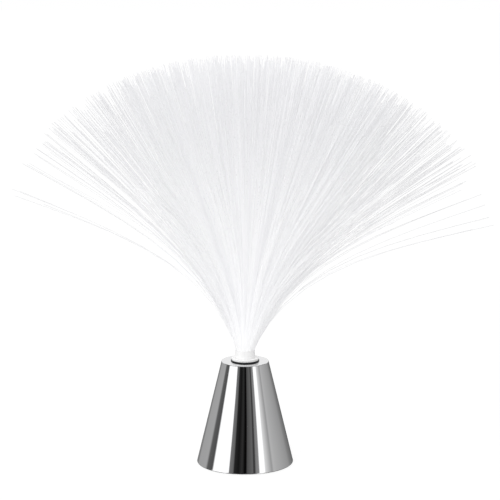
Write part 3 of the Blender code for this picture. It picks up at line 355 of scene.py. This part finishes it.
def finish(name, dark, light, grain, roughness, dent=0.0, metal=0.0, stretch=(1, 1, 1)):
    """A material whose colour, roughness and surface drift with a fine noise."""
    material = bpy.data.materials.new(name)
    material.use_nodes = True
    nodes, links = material.node_tree.nodes, material.node_tree.links
    shader = nodes["Principled BSDF"]
    shader.inputs["Metallic"].default_value = metal
    place = nodes.new("ShaderNodeTexCoord")
    place.name = "place"
    fit = nodes.new("ShaderNodeMapping")
    fit.inputs["Scale"].default_value = stretch
    noise = nodes.new("ShaderNodeTexNoise")
    noise.inputs["Scale"].default_value = grain
    noise.inputs["Detail"].default_value = NOISE_DETAIL
    tones = nodes.new("ShaderNodeValToRGB")
    tones.name = "tones"
    tones.color_ramp.elements[0].position = TONE_SPAN[0]
    tones.color_ramp.elements[0].color = (*dark, 1)
    tones.color_ramp.elements[1].position = TONE_SPAN[1]
    tones.color_ramp.elements[1].color = (*light, 1)
    rough = nodes.new("ShaderNodeMapRange")
    rough.inputs["From Min"].default_value = ROUGH_SPAN[0]
    rough.inputs["From Max"].default_value = ROUGH_SPAN[1]
    rough.inputs["To Min"].default_value = roughness[0]
    rough.inputs["To Max"].default_value = roughness[1]
    links.new(place.outputs["Object"], fit.inputs["Vector"])
    links.new(fit.outputs["Vector"], noise.inputs["Vector"])
    links.new(noise.outputs["Fac"], tones.inputs["Fac"])
    links.new(tones.outputs["Color"], shader.inputs["Base Color"])
    links.new(noise.outputs["Fac"], rough.inputs["Value"])
    links.new(rough.outputs["Result"], shader.inputs["Roughness"])
    if dent:
        bump = nodes.new("ShaderNodeBump")
        bump.inputs["Strength"].default_value = 1
        bump.inputs["Distance"].default_value = dent
        links.new(noise.outputs["Fac"], bump.inputs["Height"])
        links.new(bump.outputs["Normal"], shader.inputs["Normal"])
    return material


cone_slope = (CONE_FOOT[0] - CONE_HEAD[0]) / (CONE_HEAD[1] - CONE_FOOT[1])
inset = CONE_WALL * math.sqrt(1 + cone_slope ** 2)
ceiling = CONE_HEAD[1] - CONE_WALL
shell = turned(
    (
        CONE_FOOT,
        CONE_HEAD,
        (CONE_HOLE, CONE_HEAD[1]),
        (CONE_HOLE, ceiling),
        (CONE_HEAD[0] + cone_slope * CONE_WALL - inset, ceiling),
        (CONE_FOOT[0] - inset, CONE_FOOT[1]),
    ),
    {0: FOOT_ROUND, 1: RIM_ROUND, 2: HOLE_ROUND},
    CONE_STEPS,
)
for degrees in BOSS_TURNS:
    low, high = BOSS_SPAN
    boss = bmesh.ops.create_cone(shell, cap_ends=True, segments=BOSS_STEPS, radius1=BOSS_RADIUS,
                                 radius2=BOSS_RADIUS, depth=high - low)
    outward = Matrix.Translation((BOSS_PLACE, 0, (low + high) / 2))
    seat = Matrix.Rotation(math.radians(degrees), 4, "Z") @ outward
    bmesh.ops.transform(shell, matrix=seat, verts=boss["verts"])
    under = min({face for vert in boss["verts"] for face in vert.link_faces},
                key=lambda face: face.calc_center_median().z)
    bmesh.ops.inset_individual(shell, faces=[under], thickness=BOSS_RADIUS - BOSS_HOLE)
    bore = bmesh.ops.extrude_face_region(shell, geom=[under])
    bmesh.ops.delete(shell, geom=[under], context="FACES_ONLY")
    bore_end = [item for item in bore["geom"] if isinstance(item, bmesh.types.BMVert)]
    bmesh.ops.translate(shell, verts=bore_end, vec=(0, 0, (high - low) * BOSS_BORE_SHARE))
chrome = finish("bright_chrome", dark=(0.79, 0.79, 0.80), light=(0.81, 0.81, 0.815), grain=30,
                roughness=(0.025, 0.05), metal=1.0)
piece("plated_cone", shell, chrome, "base", "chrome", "cone_shell")


# Socket bush. A black moulded tube with a flange, pushed down through the hole in the cone's top
# and held from inside by its nut. The flange is the black ring under the white collar.
BUSH_OUTLINE = (
    (11.5 * MM, 85.8 * MM), (11.5 * MM, 85.0 * MM), (9.8 * MM, 85.0 * MM), (9.8 * MM, 58.2 * MM),
    (6.2 * MM, 58.2 * MM), (6.2 * MM, 59.1 * MM), (9.1 * MM, 59.1 * MM), (9.1 * MM, 85.8 * MM),
)
BUSH_ROUNDS = {0: 0.2 * MM, 1: 0.1 * MM}
TUBE_STEPS = 128

black_moulding = finish("black_moulding", dark=(0.012, 0.012, 0.013), light=(0.022, 0.022, 0.024),
                        grain=900, roughness=(0.38, 0.5), dent=0.02 * MM)
bush = turned(BUSH_OUTLINE, BUSH_ROUNDS, TUBE_STEPS)
piece("black_bush", bush, black_moulding, "base", "black_plastic", "socket_bush")


# Collar. A white flanged ring that drops into the bush and carries the fibre head. The lip of its
# bore closes neatly round the sleeve.
COLLAR_OUTLINE = (
    (10.9 * MM, 87.8 * MM), (10.9 * MM, 85.9 * MM), (8.8 * MM, 85.9 * MM), (8.8 * MM, 71.6 * MM),
    (8.2 * MM, 71.6 * MM), (8.2 * MM, 87.1 * MM), (8.0 * MM, 87.3 * MM), (8.0 * MM, 87.8 * MM),
)
COLLAR_ROUNDS = {0: 0.35 * MM, 1: 0.15 * MM}

white_moulding = finish("white_moulding", dark=(0.90, 0.90, 0.90), light=(0.93, 0.93, 0.93),
                        grain=420, roughness=(0.30, 0.42), dent=0.006 * MM)
collar = turned(COLLAR_OUTLINE, COLLAR_ROUNDS, TUBE_STEPS)
piece("white_collar", collar, white_moulding, "collar", "white_plastic", "collar")


# Sleeve. A thin white moulded tube that grips the fibre bundle and turns in the collar. Its upper
# end is the short neck between the collar and the spray.
SLEEVE_OUTLINE = (
    (7.9 * MM, 94.2 * MM), (7.9 * MM, 59.4 * MM), (7.3 * MM, 59.4 * MM), (7.3 * MM, 91.0 * MM),
    (7.75 * MM, 94.2 * MM),
)
SLEEVE_ROUNDS = {3: 0.5 * MM}

sleeve = turned(SLEEVE_OUTLINE, SLEEVE_ROUNDS, TUBE_STEPS)
piece("white_sleeve", sleeve, white_moulding, "head", "white_plastic", "bundle_sleeve")


# Fibre spray. Drawn clear fibres, polished at the foot, run packed through the sleeve and fan out
# over it. Those near the middle stand nearly straight, and the outer ones lean and droop. Light and
# shade are painted into their colour: a faint glow, lighter near the foot and greyer towards the
# tips, and darker outer fibres at the sides.
SPRAY_SECTORS = 6
SPRAY_COUNT = 3000
SPRAY_SEED = 11
BUNDLE_RADIUS = 6.9 * MM
MOUTH_RADIUS = 7.6 * MM
BUNDLE_FOOT = 59.7 * MM
MOUTH_FOOT = 91.0 * MM
NECK_TOP = 94.2 * MM
FIBRE_RADIUS = 0.22 * MM
FIBRE_FOOT_RADIUS = 0.16 * MM
FIBRE_LENGTH = 238.4 * MM
SPRAY_HEIGHT = 235.2 * MM
FIBRE_SIDES = 3
FIBRE_RINGS = 12
PACKED_RINGS = 3  # the first rings: foot, sleeve mouth and neck top
RING_CROWDING = 1.35  # above 1 the free rings lie closer together near the neck
BEND_STEPS = 4
LEAST_LEAN = 1e-6
EVEN_SPREAD = math.radians(38)
FRINGE_SPREAD = math.radians(28)
FRINGE_POWER = 16
ROOT_LEAN_SHARE = 0.47
DROOP_POWER = 2.6
SPRAY_TILT = Vector((math.radians(3), 0))
LEAN_SCATTER = 0.05
TIP_WANDER = math.radians(1.2)
RISE_LEAN_SHARE = 0.8  # a fibre's lean over its whole length, as a share of its tip's lean
LENGTH_SCATTER = 0.03
TUFT_COUNT = 210  # spots in the bundle: the fibres nearest to a spot lean together
TUFT_PULL = (0.05, 0.5)
RIM_TUFT_PULL = 0.4
STRAY_TURNS = (1, -6, 8, 14, 181, 173, 190, 22, -28, 150, 210)  # loose fibres, degrees from +X
STRAY_TURN_SCATTER = 3  # degrees
STRAY_LEANS = (66, 75)  # degrees
STRAY_LENGTHS = (0.945, 0.975)  # shares of a full length
GOLDEN_TURN = math.pi * (3 - math.sqrt(5))
FIBRE_ROLL = 2  # radians: the most that a fibre's three sides are rolled
# Painted shade: the outer fibres are darker, most at the sides and least at the front and back, a
# little more or less at random.
OUTER_PAINTED_SHADE = 0.14
PAINTED_SHADE_POWER = 5
FRONT_PAINTED_SHADE_SHARE = 0.25
PAINTED_SHADE_SCATTER = (0.8, 1.2)
# Painted light: the fibres glow faintly in their own colour, for the light that passes through and
# between the packed fibres.
PAINTED_FIBRE_GLOW = 0.18
# Painted light and shade along each fibre: light near the foot, where the packed bundle is bright,
# and greyer towards the tips.
FOOT_PAINTED_TONE = (0.955, 0.955, 0.955, 1)
TIP_PAINTED_TONE = (0.745, 0.745, 0.757, 1)
BETWEEN_PAINTED_TONES = ((0.3, 0.946), (0.5, 0.913), (0.75, 0.862))  # share of the length, and tone
BLUE_SHARE = 1.01
FIBRE_GRAIN = 400
FIBRE_ROUGHNESS = (0.2, 0.4)

chance = random.Random(SPRAY_SEED)


def flat(length, turn):
    """A flat vector of a length and a turn about Z."""
    return Vector((length * math.cos(turn), length * math.sin(turn)))


def spread(count):
    """Even places over a disc: share of its radius and turn about Z."""
    return [(math.sqrt((index + 0.5) / count), index * GOLDEN_TURN) for index in range(count)]


def tip_lean(share):
    """Lean of a tip for a fibre's place in the bundle, from 0 in the middle to 1 at the rim."""
    return EVEN_SPREAD * share + FRINGE_SPREAD * share ** FRINGE_POWER


def fibre_path(place, root_lean, end_lean, length):
    """Middle points of a fibre: its foot, the sleeve's mouth, and the free length."""
    path = [
        (place * BUNDLE_RADIUS).to_3d() + Vector((0, 0, BUNDLE_FOOT)),
        (place * BUNDLE_RADIUS).to_3d() + Vector((0, 0, MOUTH_FOOT)),
        (place * MOUTH_RADIUS).to_3d() + Vector((0, 0, NECK_TOP)),
    ]
    point = path[-1].copy()
    parts = FIBRE_RINGS + 1 - PACKED_RINGS
    done = 0.0
    for part in range(1, parts + 1):
        goal = (part / parts) ** RING_CROWDING
        step = (goal - done) / BEND_STEPS
        for bend in range(BEND_STEPS):
            share = done + step * (bend + 0.5)
            lean = root_lean.lerp(end_lean, 1 - (1 - share) ** DROOP_POWER)
            angle = max(lean.length, LEAST_LEAN)
            ahead = (lean * (math.sin(angle) / angle)).to_3d() + Vector((0, 0, math.cos(angle)))
            point += ahead * (step * length)
        done = goal
        path.append(point.copy())
    return path


straight = bmesh.new()
bmesh.ops.create_cone(straight, cap_ends=True, segments=FIBRE_SIDES, radius1=1, radius2=1, depth=1)
bmesh.ops.translate(straight, verts=straight.verts, vec=(0, 0, 0.5))
upright = [edge for edge in straight.edges if abs(edge.verts[0].co.z - edge.verts[1].co.z) > 0.5]
bmesh.ops.subdivide_edges(straight, edges=upright, cuts=FIBRE_RINGS - 1, use_grid_fill=True)
# The strand layer holds each fibre's painted shade in its first value and the share of its length in
# the second.
along = straight.loops.layers.uv.new("strand")
for face in straight.faces:
    for loop in face.loops:
        loop[along].uv = (0, loop.vert.co.z)
master = bpy.data.meshes.new("straight_fibre")
straight.to_mesh(master)
straight.free()

fibre_glass = bpy.data.materials.new("drawn_fibre")
fibre_glass.use_nodes = True
nodes, links = fibre_glass.node_tree.nodes, fibre_glass.node_tree.links
shader = nodes["Principled BSDF"]
strand = nodes.new("ShaderNodeUVMap")
strand.uv_map = "strand"
split = nodes.new("ShaderNodeSeparateXYZ")
# A ramp of painted light and shade along the length, scaled by each fibre's painted shade.
painted_length_tone = nodes.new("ShaderNodeValToRGB")
stops = painted_length_tone.color_ramp.elements
stops[0].position, stops[0].color = 0.0, FOOT_PAINTED_TONE
stops[1].position, stops[1].color = 1.0, TIP_PAINTED_TONE
for position, level in BETWEEN_PAINTED_TONES:
    stop = stops.new(position)
    stop.color = (level, level, level * BLUE_SHARE, 1)
painted_light_and_shade = nodes.new("ShaderNodeVectorMath")
painted_light_and_shade.operation = "SCALE"
place = nodes.new("ShaderNodeTexCoord")
noise = nodes.new("ShaderNodeTexNoise")
noise.inputs["Scale"].default_value = FIBRE_GRAIN
rough = nodes.new("ShaderNodeMapRange")
rough.inputs["To Min"].default_value = FIBRE_ROUGHNESS[0]
rough.inputs["To Max"].default_value = FIBRE_ROUGHNESS[1]
links.new(strand.outputs["UV"], split.inputs[0])
links.new(split.outputs["Y"], painted_length_tone.inputs["Fac"])
links.new(painted_length_tone.outputs["Color"], painted_light_and_shade.inputs[0])
links.new(split.outputs["X"], painted_light_and_shade.inputs["Scale"])
links.new(painted_light_and_shade.outputs["Vector"], shader.inputs["Base Color"])
# The same painted colour glows as painted light.
links.new(painted_light_and_shade.outputs["Vector"], shader.inputs["Emission Color"])
shader.inputs["Emission Strength"].default_value = PAINTED_FIBRE_GLOW
fibre_glass.cycles.emission_sampling = "NONE"
links.new(place.outputs["Object"], noise.inputs["Vector"])
links.new(noise.outputs["Fac"], rough.inputs["Value"])
links.new(rough.outputs["Result"], shader.inputs["Roughness"])

tufts = [(flat(share, turn), flat(tip_lean(share), turn)) for share, turn in spread(TUFT_COUNT)]
strands = []
for share, turn in spread(SPRAY_COUNT):
    place = flat(share, turn)
    tuft_lean = min(tufts, key=lambda tuft: (tuft[0] - place).length_squared)[1]
    own_lean = flat(tip_lean(share), turn)
    end_lean = own_lean.lerp(tuft_lean, chance.uniform(*TUFT_PULL) + RIM_TUFT_PULL * share ** 2)
    end_lean *= 1 + chance.uniform(-LEAN_SCATTER, LEAN_SCATTER)
    end_lean += flat(TIP_WANDER * chance.random(), chance.uniform(0, 2 * math.pi))
    root_lean = flat(ROOT_LEAN_SHARE * EVEN_SPREAD * share, turn)
    rise = math.cos(RISE_LEAN_SHARE * (end_lean + SPRAY_TILT).length)
    length = min(FIBRE_LENGTH, SPRAY_HEIGHT / rise) * (1 - LENGTH_SCATTER * chance.random() ** 2)
    # Painted shade on the outer fibres: full at the sides, a quarter of it at the front and back.
    side_painted_shade = FRONT_PAINTED_SHADE_SHARE + (1 - FRONT_PAINTED_SHADE_SHARE) * math.cos(turn) ** 2
    tone = 1 - OUTER_PAINTED_SHADE * share ** PAINTED_SHADE_POWER * side_painted_shade * chance.uniform(*PAINTED_SHADE_SCATTER)
    strands.append((place, turn, root_lean + SPRAY_TILT, end_lean + SPRAY_TILT, length, tone))
for degrees in STRAY_TURNS:
    turn = math.radians(degrees + chance.uniform(-STRAY_TURN_SCATTER, STRAY_TURN_SCATTER))
    root_lean = flat(ROOT_LEAN_SHARE * EVEN_SPREAD, turn)
    end_lean = flat(math.radians(chance.uniform(*STRAY_LEANS)), turn)
    # Loose fibres take the rim's full painted shade.
    strands.append((flat(1, turn), turn, root_lean + SPRAY_TILT, end_lean + SPRAY_TILT,
                    FIBRE_LENGTH * chance.uniform(*STRAY_LENGTHS), 1 - OUTER_PAINTED_SHADE))
for sector in range(SPRAY_SECTORS):
    spray = bmesh.new()
    for place, turn, root_lean, end_lean, length, tone in strands:
        if int(turn % (2 * math.pi) / (2 * math.pi) * SPRAY_SECTORS) != sector:
            continue
        path = fibre_path(place, root_lean, end_lean, length)
        first_vert, first_face = len(spray.verts), len(spray.faces)
        spray.from_mesh(master)
        spray.verts.ensure_lookup_table()
        spray.faces.ensure_lookup_table()
        painted_shade_layer = spray.loops.layers.uv["strand"]
        sideways = flat(1, turn + math.pi / 2).to_3d()
        roll = chance.uniform(0, FIBRE_ROLL)
        for face in spray.faces[first_face:]:
            for loop in face.loops:
                loop[painted_shade_layer].uv.x = tone
        for vert in spray.verts[first_vert:]:
            ring = round(vert.co.z * FIBRE_RINGS)
            ahead = path[min(ring + 1, FIBRE_RINGS)] - path[max(ring - 1, 0)]
            across = ahead.cross(sideways).normalized()
            angle = math.atan2(vert.co.y, vert.co.x) + roll
            thick = FIBRE_FOOT_RADIUS if ring < PACKED_RINGS else FIBRE_RADIUS
            vert.co = path[ring] + (sideways * math.cos(angle) + across * math.sin(angle)) * thick
    bmesh.ops.recalc_face_normals(spray, faces=spray.faces)
    piece(f"fibre_spray_{sector + 1}", spray, fibre_glass, "head", "fibre",
          f"fibre_sector_{sector + 1}")


# Light housing. Inside the cone a black nut clamps the bush, and a white cup on the bush's foot
# holds the clear window, the round circuit board with its parts and the three light emitters. The
# board is green over its copper tracks, and the emitters are cast in coloured epoxy.
WINDOW_INDEX = 1.49
TRACK_GRAIN = 260
TRACK_EDGE = (0.08, 0.06)
TRACK_GREEN = (0.09, 0.36, 0.15, 1)
EPOXY_COLOURS = (
    ("led_red", (0.85, 0.20, 0.16)), ("led_green", (0.20, 0.75, 0.30)),
    ("led_blue", (0.20, 0.32, 0.85)),
)
EPOXY_DARK_SHARE = 0.8
EPOXY_CLEARNESS = 0.5

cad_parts["bush_nut"].data.materials[0] = black_moulding
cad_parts["led_housing"].data.materials[0] = white_moulding
window_clear = finish("clear_window", dark=(0.93, 0.96, 0.97), light=(0.97, 0.98, 0.98), grain=60,
                      roughness=(0.03, 0.07))
window_clear.node_tree.nodes["Principled BSDF"].inputs["Transmission Weight"].default_value = 1
window_clear.node_tree.nodes["Principled BSDF"].inputs["IOR"].default_value = WINDOW_INDEX
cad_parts["lens_window"].data.materials[0] = window_clear
solder_mask = finish("green_board", dark=(0.02, 0.15, 0.06), light=(0.04, 0.24, 0.10), grain=260,
                     roughness=(0.35, 0.5))
nodes, links = solder_mask.node_tree.nodes, solder_mask.node_tree.links
tracks = nodes.new("ShaderNodeTexVoronoi")
tracks.feature = "DISTANCE_TO_EDGE"
tracks.inputs["Scale"].default_value = TRACK_GRAIN
on_track = nodes.new("ShaderNodeMapRange")
on_track.inputs["From Min"].default_value = TRACK_EDGE[0]
on_track.inputs["From Max"].default_value = TRACK_EDGE[1]
copper_under = nodes.new("ShaderNodeMix")
copper_under.data_type = "RGBA"
copper_under.inputs["B"].default_value = TRACK_GREEN
links.new(nodes["place"].outputs["Object"], tracks.inputs["Vector"])
links.new(tracks.outputs["Distance"], on_track.inputs["Value"])
links.new(on_track.outputs["Result"], copper_under.inputs["Factor"])
links.new(nodes["tones"].outputs["Color"], copper_under.inputs["A"])
links.new(copper_under.outputs["Result"], nodes["Principled BSDF"].inputs["Base Color"])
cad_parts["led_board"].data.materials[0] = solder_mask
potting = finish("black_resin", dark=(0.008, 0.008, 0.009), light=(0.02, 0.02, 0.02), grain=300,
                 roughness=(0.15, 0.3), dent=0.03 * MM)
for node in ("controller_blob", "resistor_1", "resistor_2"):
    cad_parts[node].data.materials[0] = potting
for node, colour in EPOXY_COLOURS:
    dark = tuple(part * EPOXY_DARK_SHARE for part in colour)
    epoxy = finish(node + "_epoxy", dark, colour, grain=200, roughness=(0.08, 0.16))
    shader = epoxy.node_tree.nodes["Principled BSDF"]
    shader.inputs["Transmission Weight"].default_value = EPOXY_CLEARNESS
    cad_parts[node].data.materials[0] = epoxy


# Base. The plate with the battery trough, the trough's door and the switch's knob are moulded in
# the bush's black plastic. Three screws hold the plate to the cone, and the door snaps shut.
for node in ("base_plate", "battery_door", "switch_knob"):
    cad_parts[node].data.materials[0] = black_moulding


# Metal fittings. Contacts, springs, the switch's case and every screw are nickel-plated steel,
# with the fine lines that rolling and drawing leave.
nickel = finish("nickel_plate", dark=(0.50, 0.51, 0.52), light=(0.62, 0.63, 0.64), grain=700,
                roughness=(0.22, 0.38), dent=0.004 * MM, metal=1.0, stretch=(1, 1, 0.15))
for node in ("contact_positive", "contact_negative", "contact_link_front", "contact_link_back",
             "contact_spring_1", "contact_spring_2", "contact_spring_3", "switch_body",
             "board_screw_1", "board_screw_2", "plate_screw_1", "plate_screw_2", "plate_screw_3",
             "switch_screw_1", "switch_screw_2"):
    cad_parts[node].data.materials[0] = nickel


# Cells. Three small cells in plain dark shrunk sleeves with no lettering on them. The sleeve ends
# just short of the edges, so the bright steel of the can shows at both ends.
CELL_BARE_END = 1.3 * MM
CELL_NUB = (1.9 * MM, 1.0 * MM)  # radius and height
CELL_GROOVE = 0.2 * MM
CELL_ROUNDS = {4: 0.4 * MM, 5: 0.4 * MM, 9: 0.3 * MM}
CELL_STEPS = 96
CELL_NUB_SIDES = ((1, 1), (2, -1), (3, 1))  # number of the cell, and the way its nub points in Y
CAN_STEEL = (0.66, 0.66, 0.67, 1)

for number, nub_side in CELL_NUB_SIDES:
    node = f"battery_cell_{number}"
    low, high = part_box(node)
    radius, half = (high.z - low.z) / 2, (high.y - low.y) / 2
    shoulder = half - CELL_NUB[1]
    rim, valley, inner = (radius - count * CELL_GROOVE for count in (3, 4, 5))
    cell = turned(
        (
            (0, -half), (inner, -half), (valley, CELL_GROOVE - half), (rim, -half),
            (radius, -half), (radius, shoulder),
            (rim, shoulder), (valley, shoulder - CELL_GROOVE),
            (CELL_NUB[0], shoulder - CELL_GROOVE), (CELL_NUB[0], half), (0, half),
        ),
        CELL_ROUNDS,
        CELL_STEPS,
    )
    upright_to_y = Matrix.Rotation(-nub_side * math.pi / 2, 3, "X")
    bmesh.ops.rotate(cell, verts=cell.verts, matrix=upright_to_y)
    bmesh.ops.translate(cell, verts=cell.verts, vec=(low + high) / 2)
    cell_sleeve = finish(node + "_sleeve", dark=(0.17, 0.19, 0.21), light=(0.24, 0.26, 0.28),
                         grain=80, roughness=(0.28, 0.4), metal=0.7)
    nodes, links = cell_sleeve.node_tree.nodes, cell_sleeve.node_tree.links
    split = nodes.new("ShaderNodeSeparateXYZ")
    off_middle = nodes.new("ShaderNodeMath")
    off_middle.operation = "SUBTRACT"
    off_middle.inputs[1].default_value = (low.y + high.y) / 2
    outward = nodes.new("ShaderNodeMath")
    outward.operation = "ABSOLUTE"
    bare = nodes.new("ShaderNodeMath")
    bare.operation = "GREATER_THAN"
    bare.inputs[1].default_value = half - CELL_BARE_END
    skin = nodes.new("ShaderNodeMix")
    skin.data_type = "RGBA"
    skin.inputs["B"].default_value = CAN_STEEL
    links.new(nodes["place"].outputs["Object"], split.inputs[0])
    links.new(split.outputs["Y"], off_middle.inputs[0])
    links.new(off_middle.outputs[0], outward.inputs[0])
    links.new(outward.outputs[0], bare.inputs[0])
    links.new(bare.outputs[0], skin.inputs["Factor"])
    links.new(nodes["tones"].outputs["Color"], skin.inputs["A"])
    links.new(skin.outputs["Result"], nodes["Principled BSDF"].inputs["Base Color"])
    piece(f"sleeved_cell_{number}", cell, cell_sleeve, "base", "cell_skin", node)


# Leads. Thin hook-up wire in red and black insulation, soldered at both ends. It runs inside the
# cone all the way, from the contacts and the switch up to the board.
red_lead = finish("red_insulation", dark=(0.52, 0.02, 0.02), light=(0.68, 0.04, 0.03), grain=500,
                  roughness=(0.35, 0.5))
black_lead = finish("black_insulation", dark=(0.015, 0.015, 0.015), light=(0.03, 0.03, 0.03),
                    grain=500, roughness=(0.35, 0.5))
for node in ("wire_supply", "wire_switched"):
    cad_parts[node].data.materials[0] = red_lead
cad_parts["wire_return"].data.materials[0] = black_lead


# Feet. Four round pads of soft black rubber, glued in shallow recesses of the base plate. The lamp
# stands on them, and they keep it from sliding.
PAD_COUNT = 4
PAD_ROUNDS = {0: 0.4 * MM, 1: 0.1 * MM}
PAD_STEPS = 64

rubber = finish("foot_rubber", dark=(0.02, 0.02, 0.02), light=(0.04, 0.04, 0.04), grain=1200,
                roughness=(0.7, 0.9), dent=0.04 * MM)
for number in range(1, PAD_COUNT + 1):
    low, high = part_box(f"foot_{number}")
    radius = (high.x - low.x) / 2
    pad = turned(
        ((radius, low.z), (radius, high.z), (0, high.z), (0, low.z)),
        PAD_ROUNDS,
        PAD_STEPS,
    )
    bmesh.ops.translate(pad, verts=pad.verts, vec=((low.x + high.x) / 2, (low.y + high.y) / 2, 0))
    piece(f"rubber_foot_{number}", pad, rubber, "base", "rubber", f"foot_{number}")
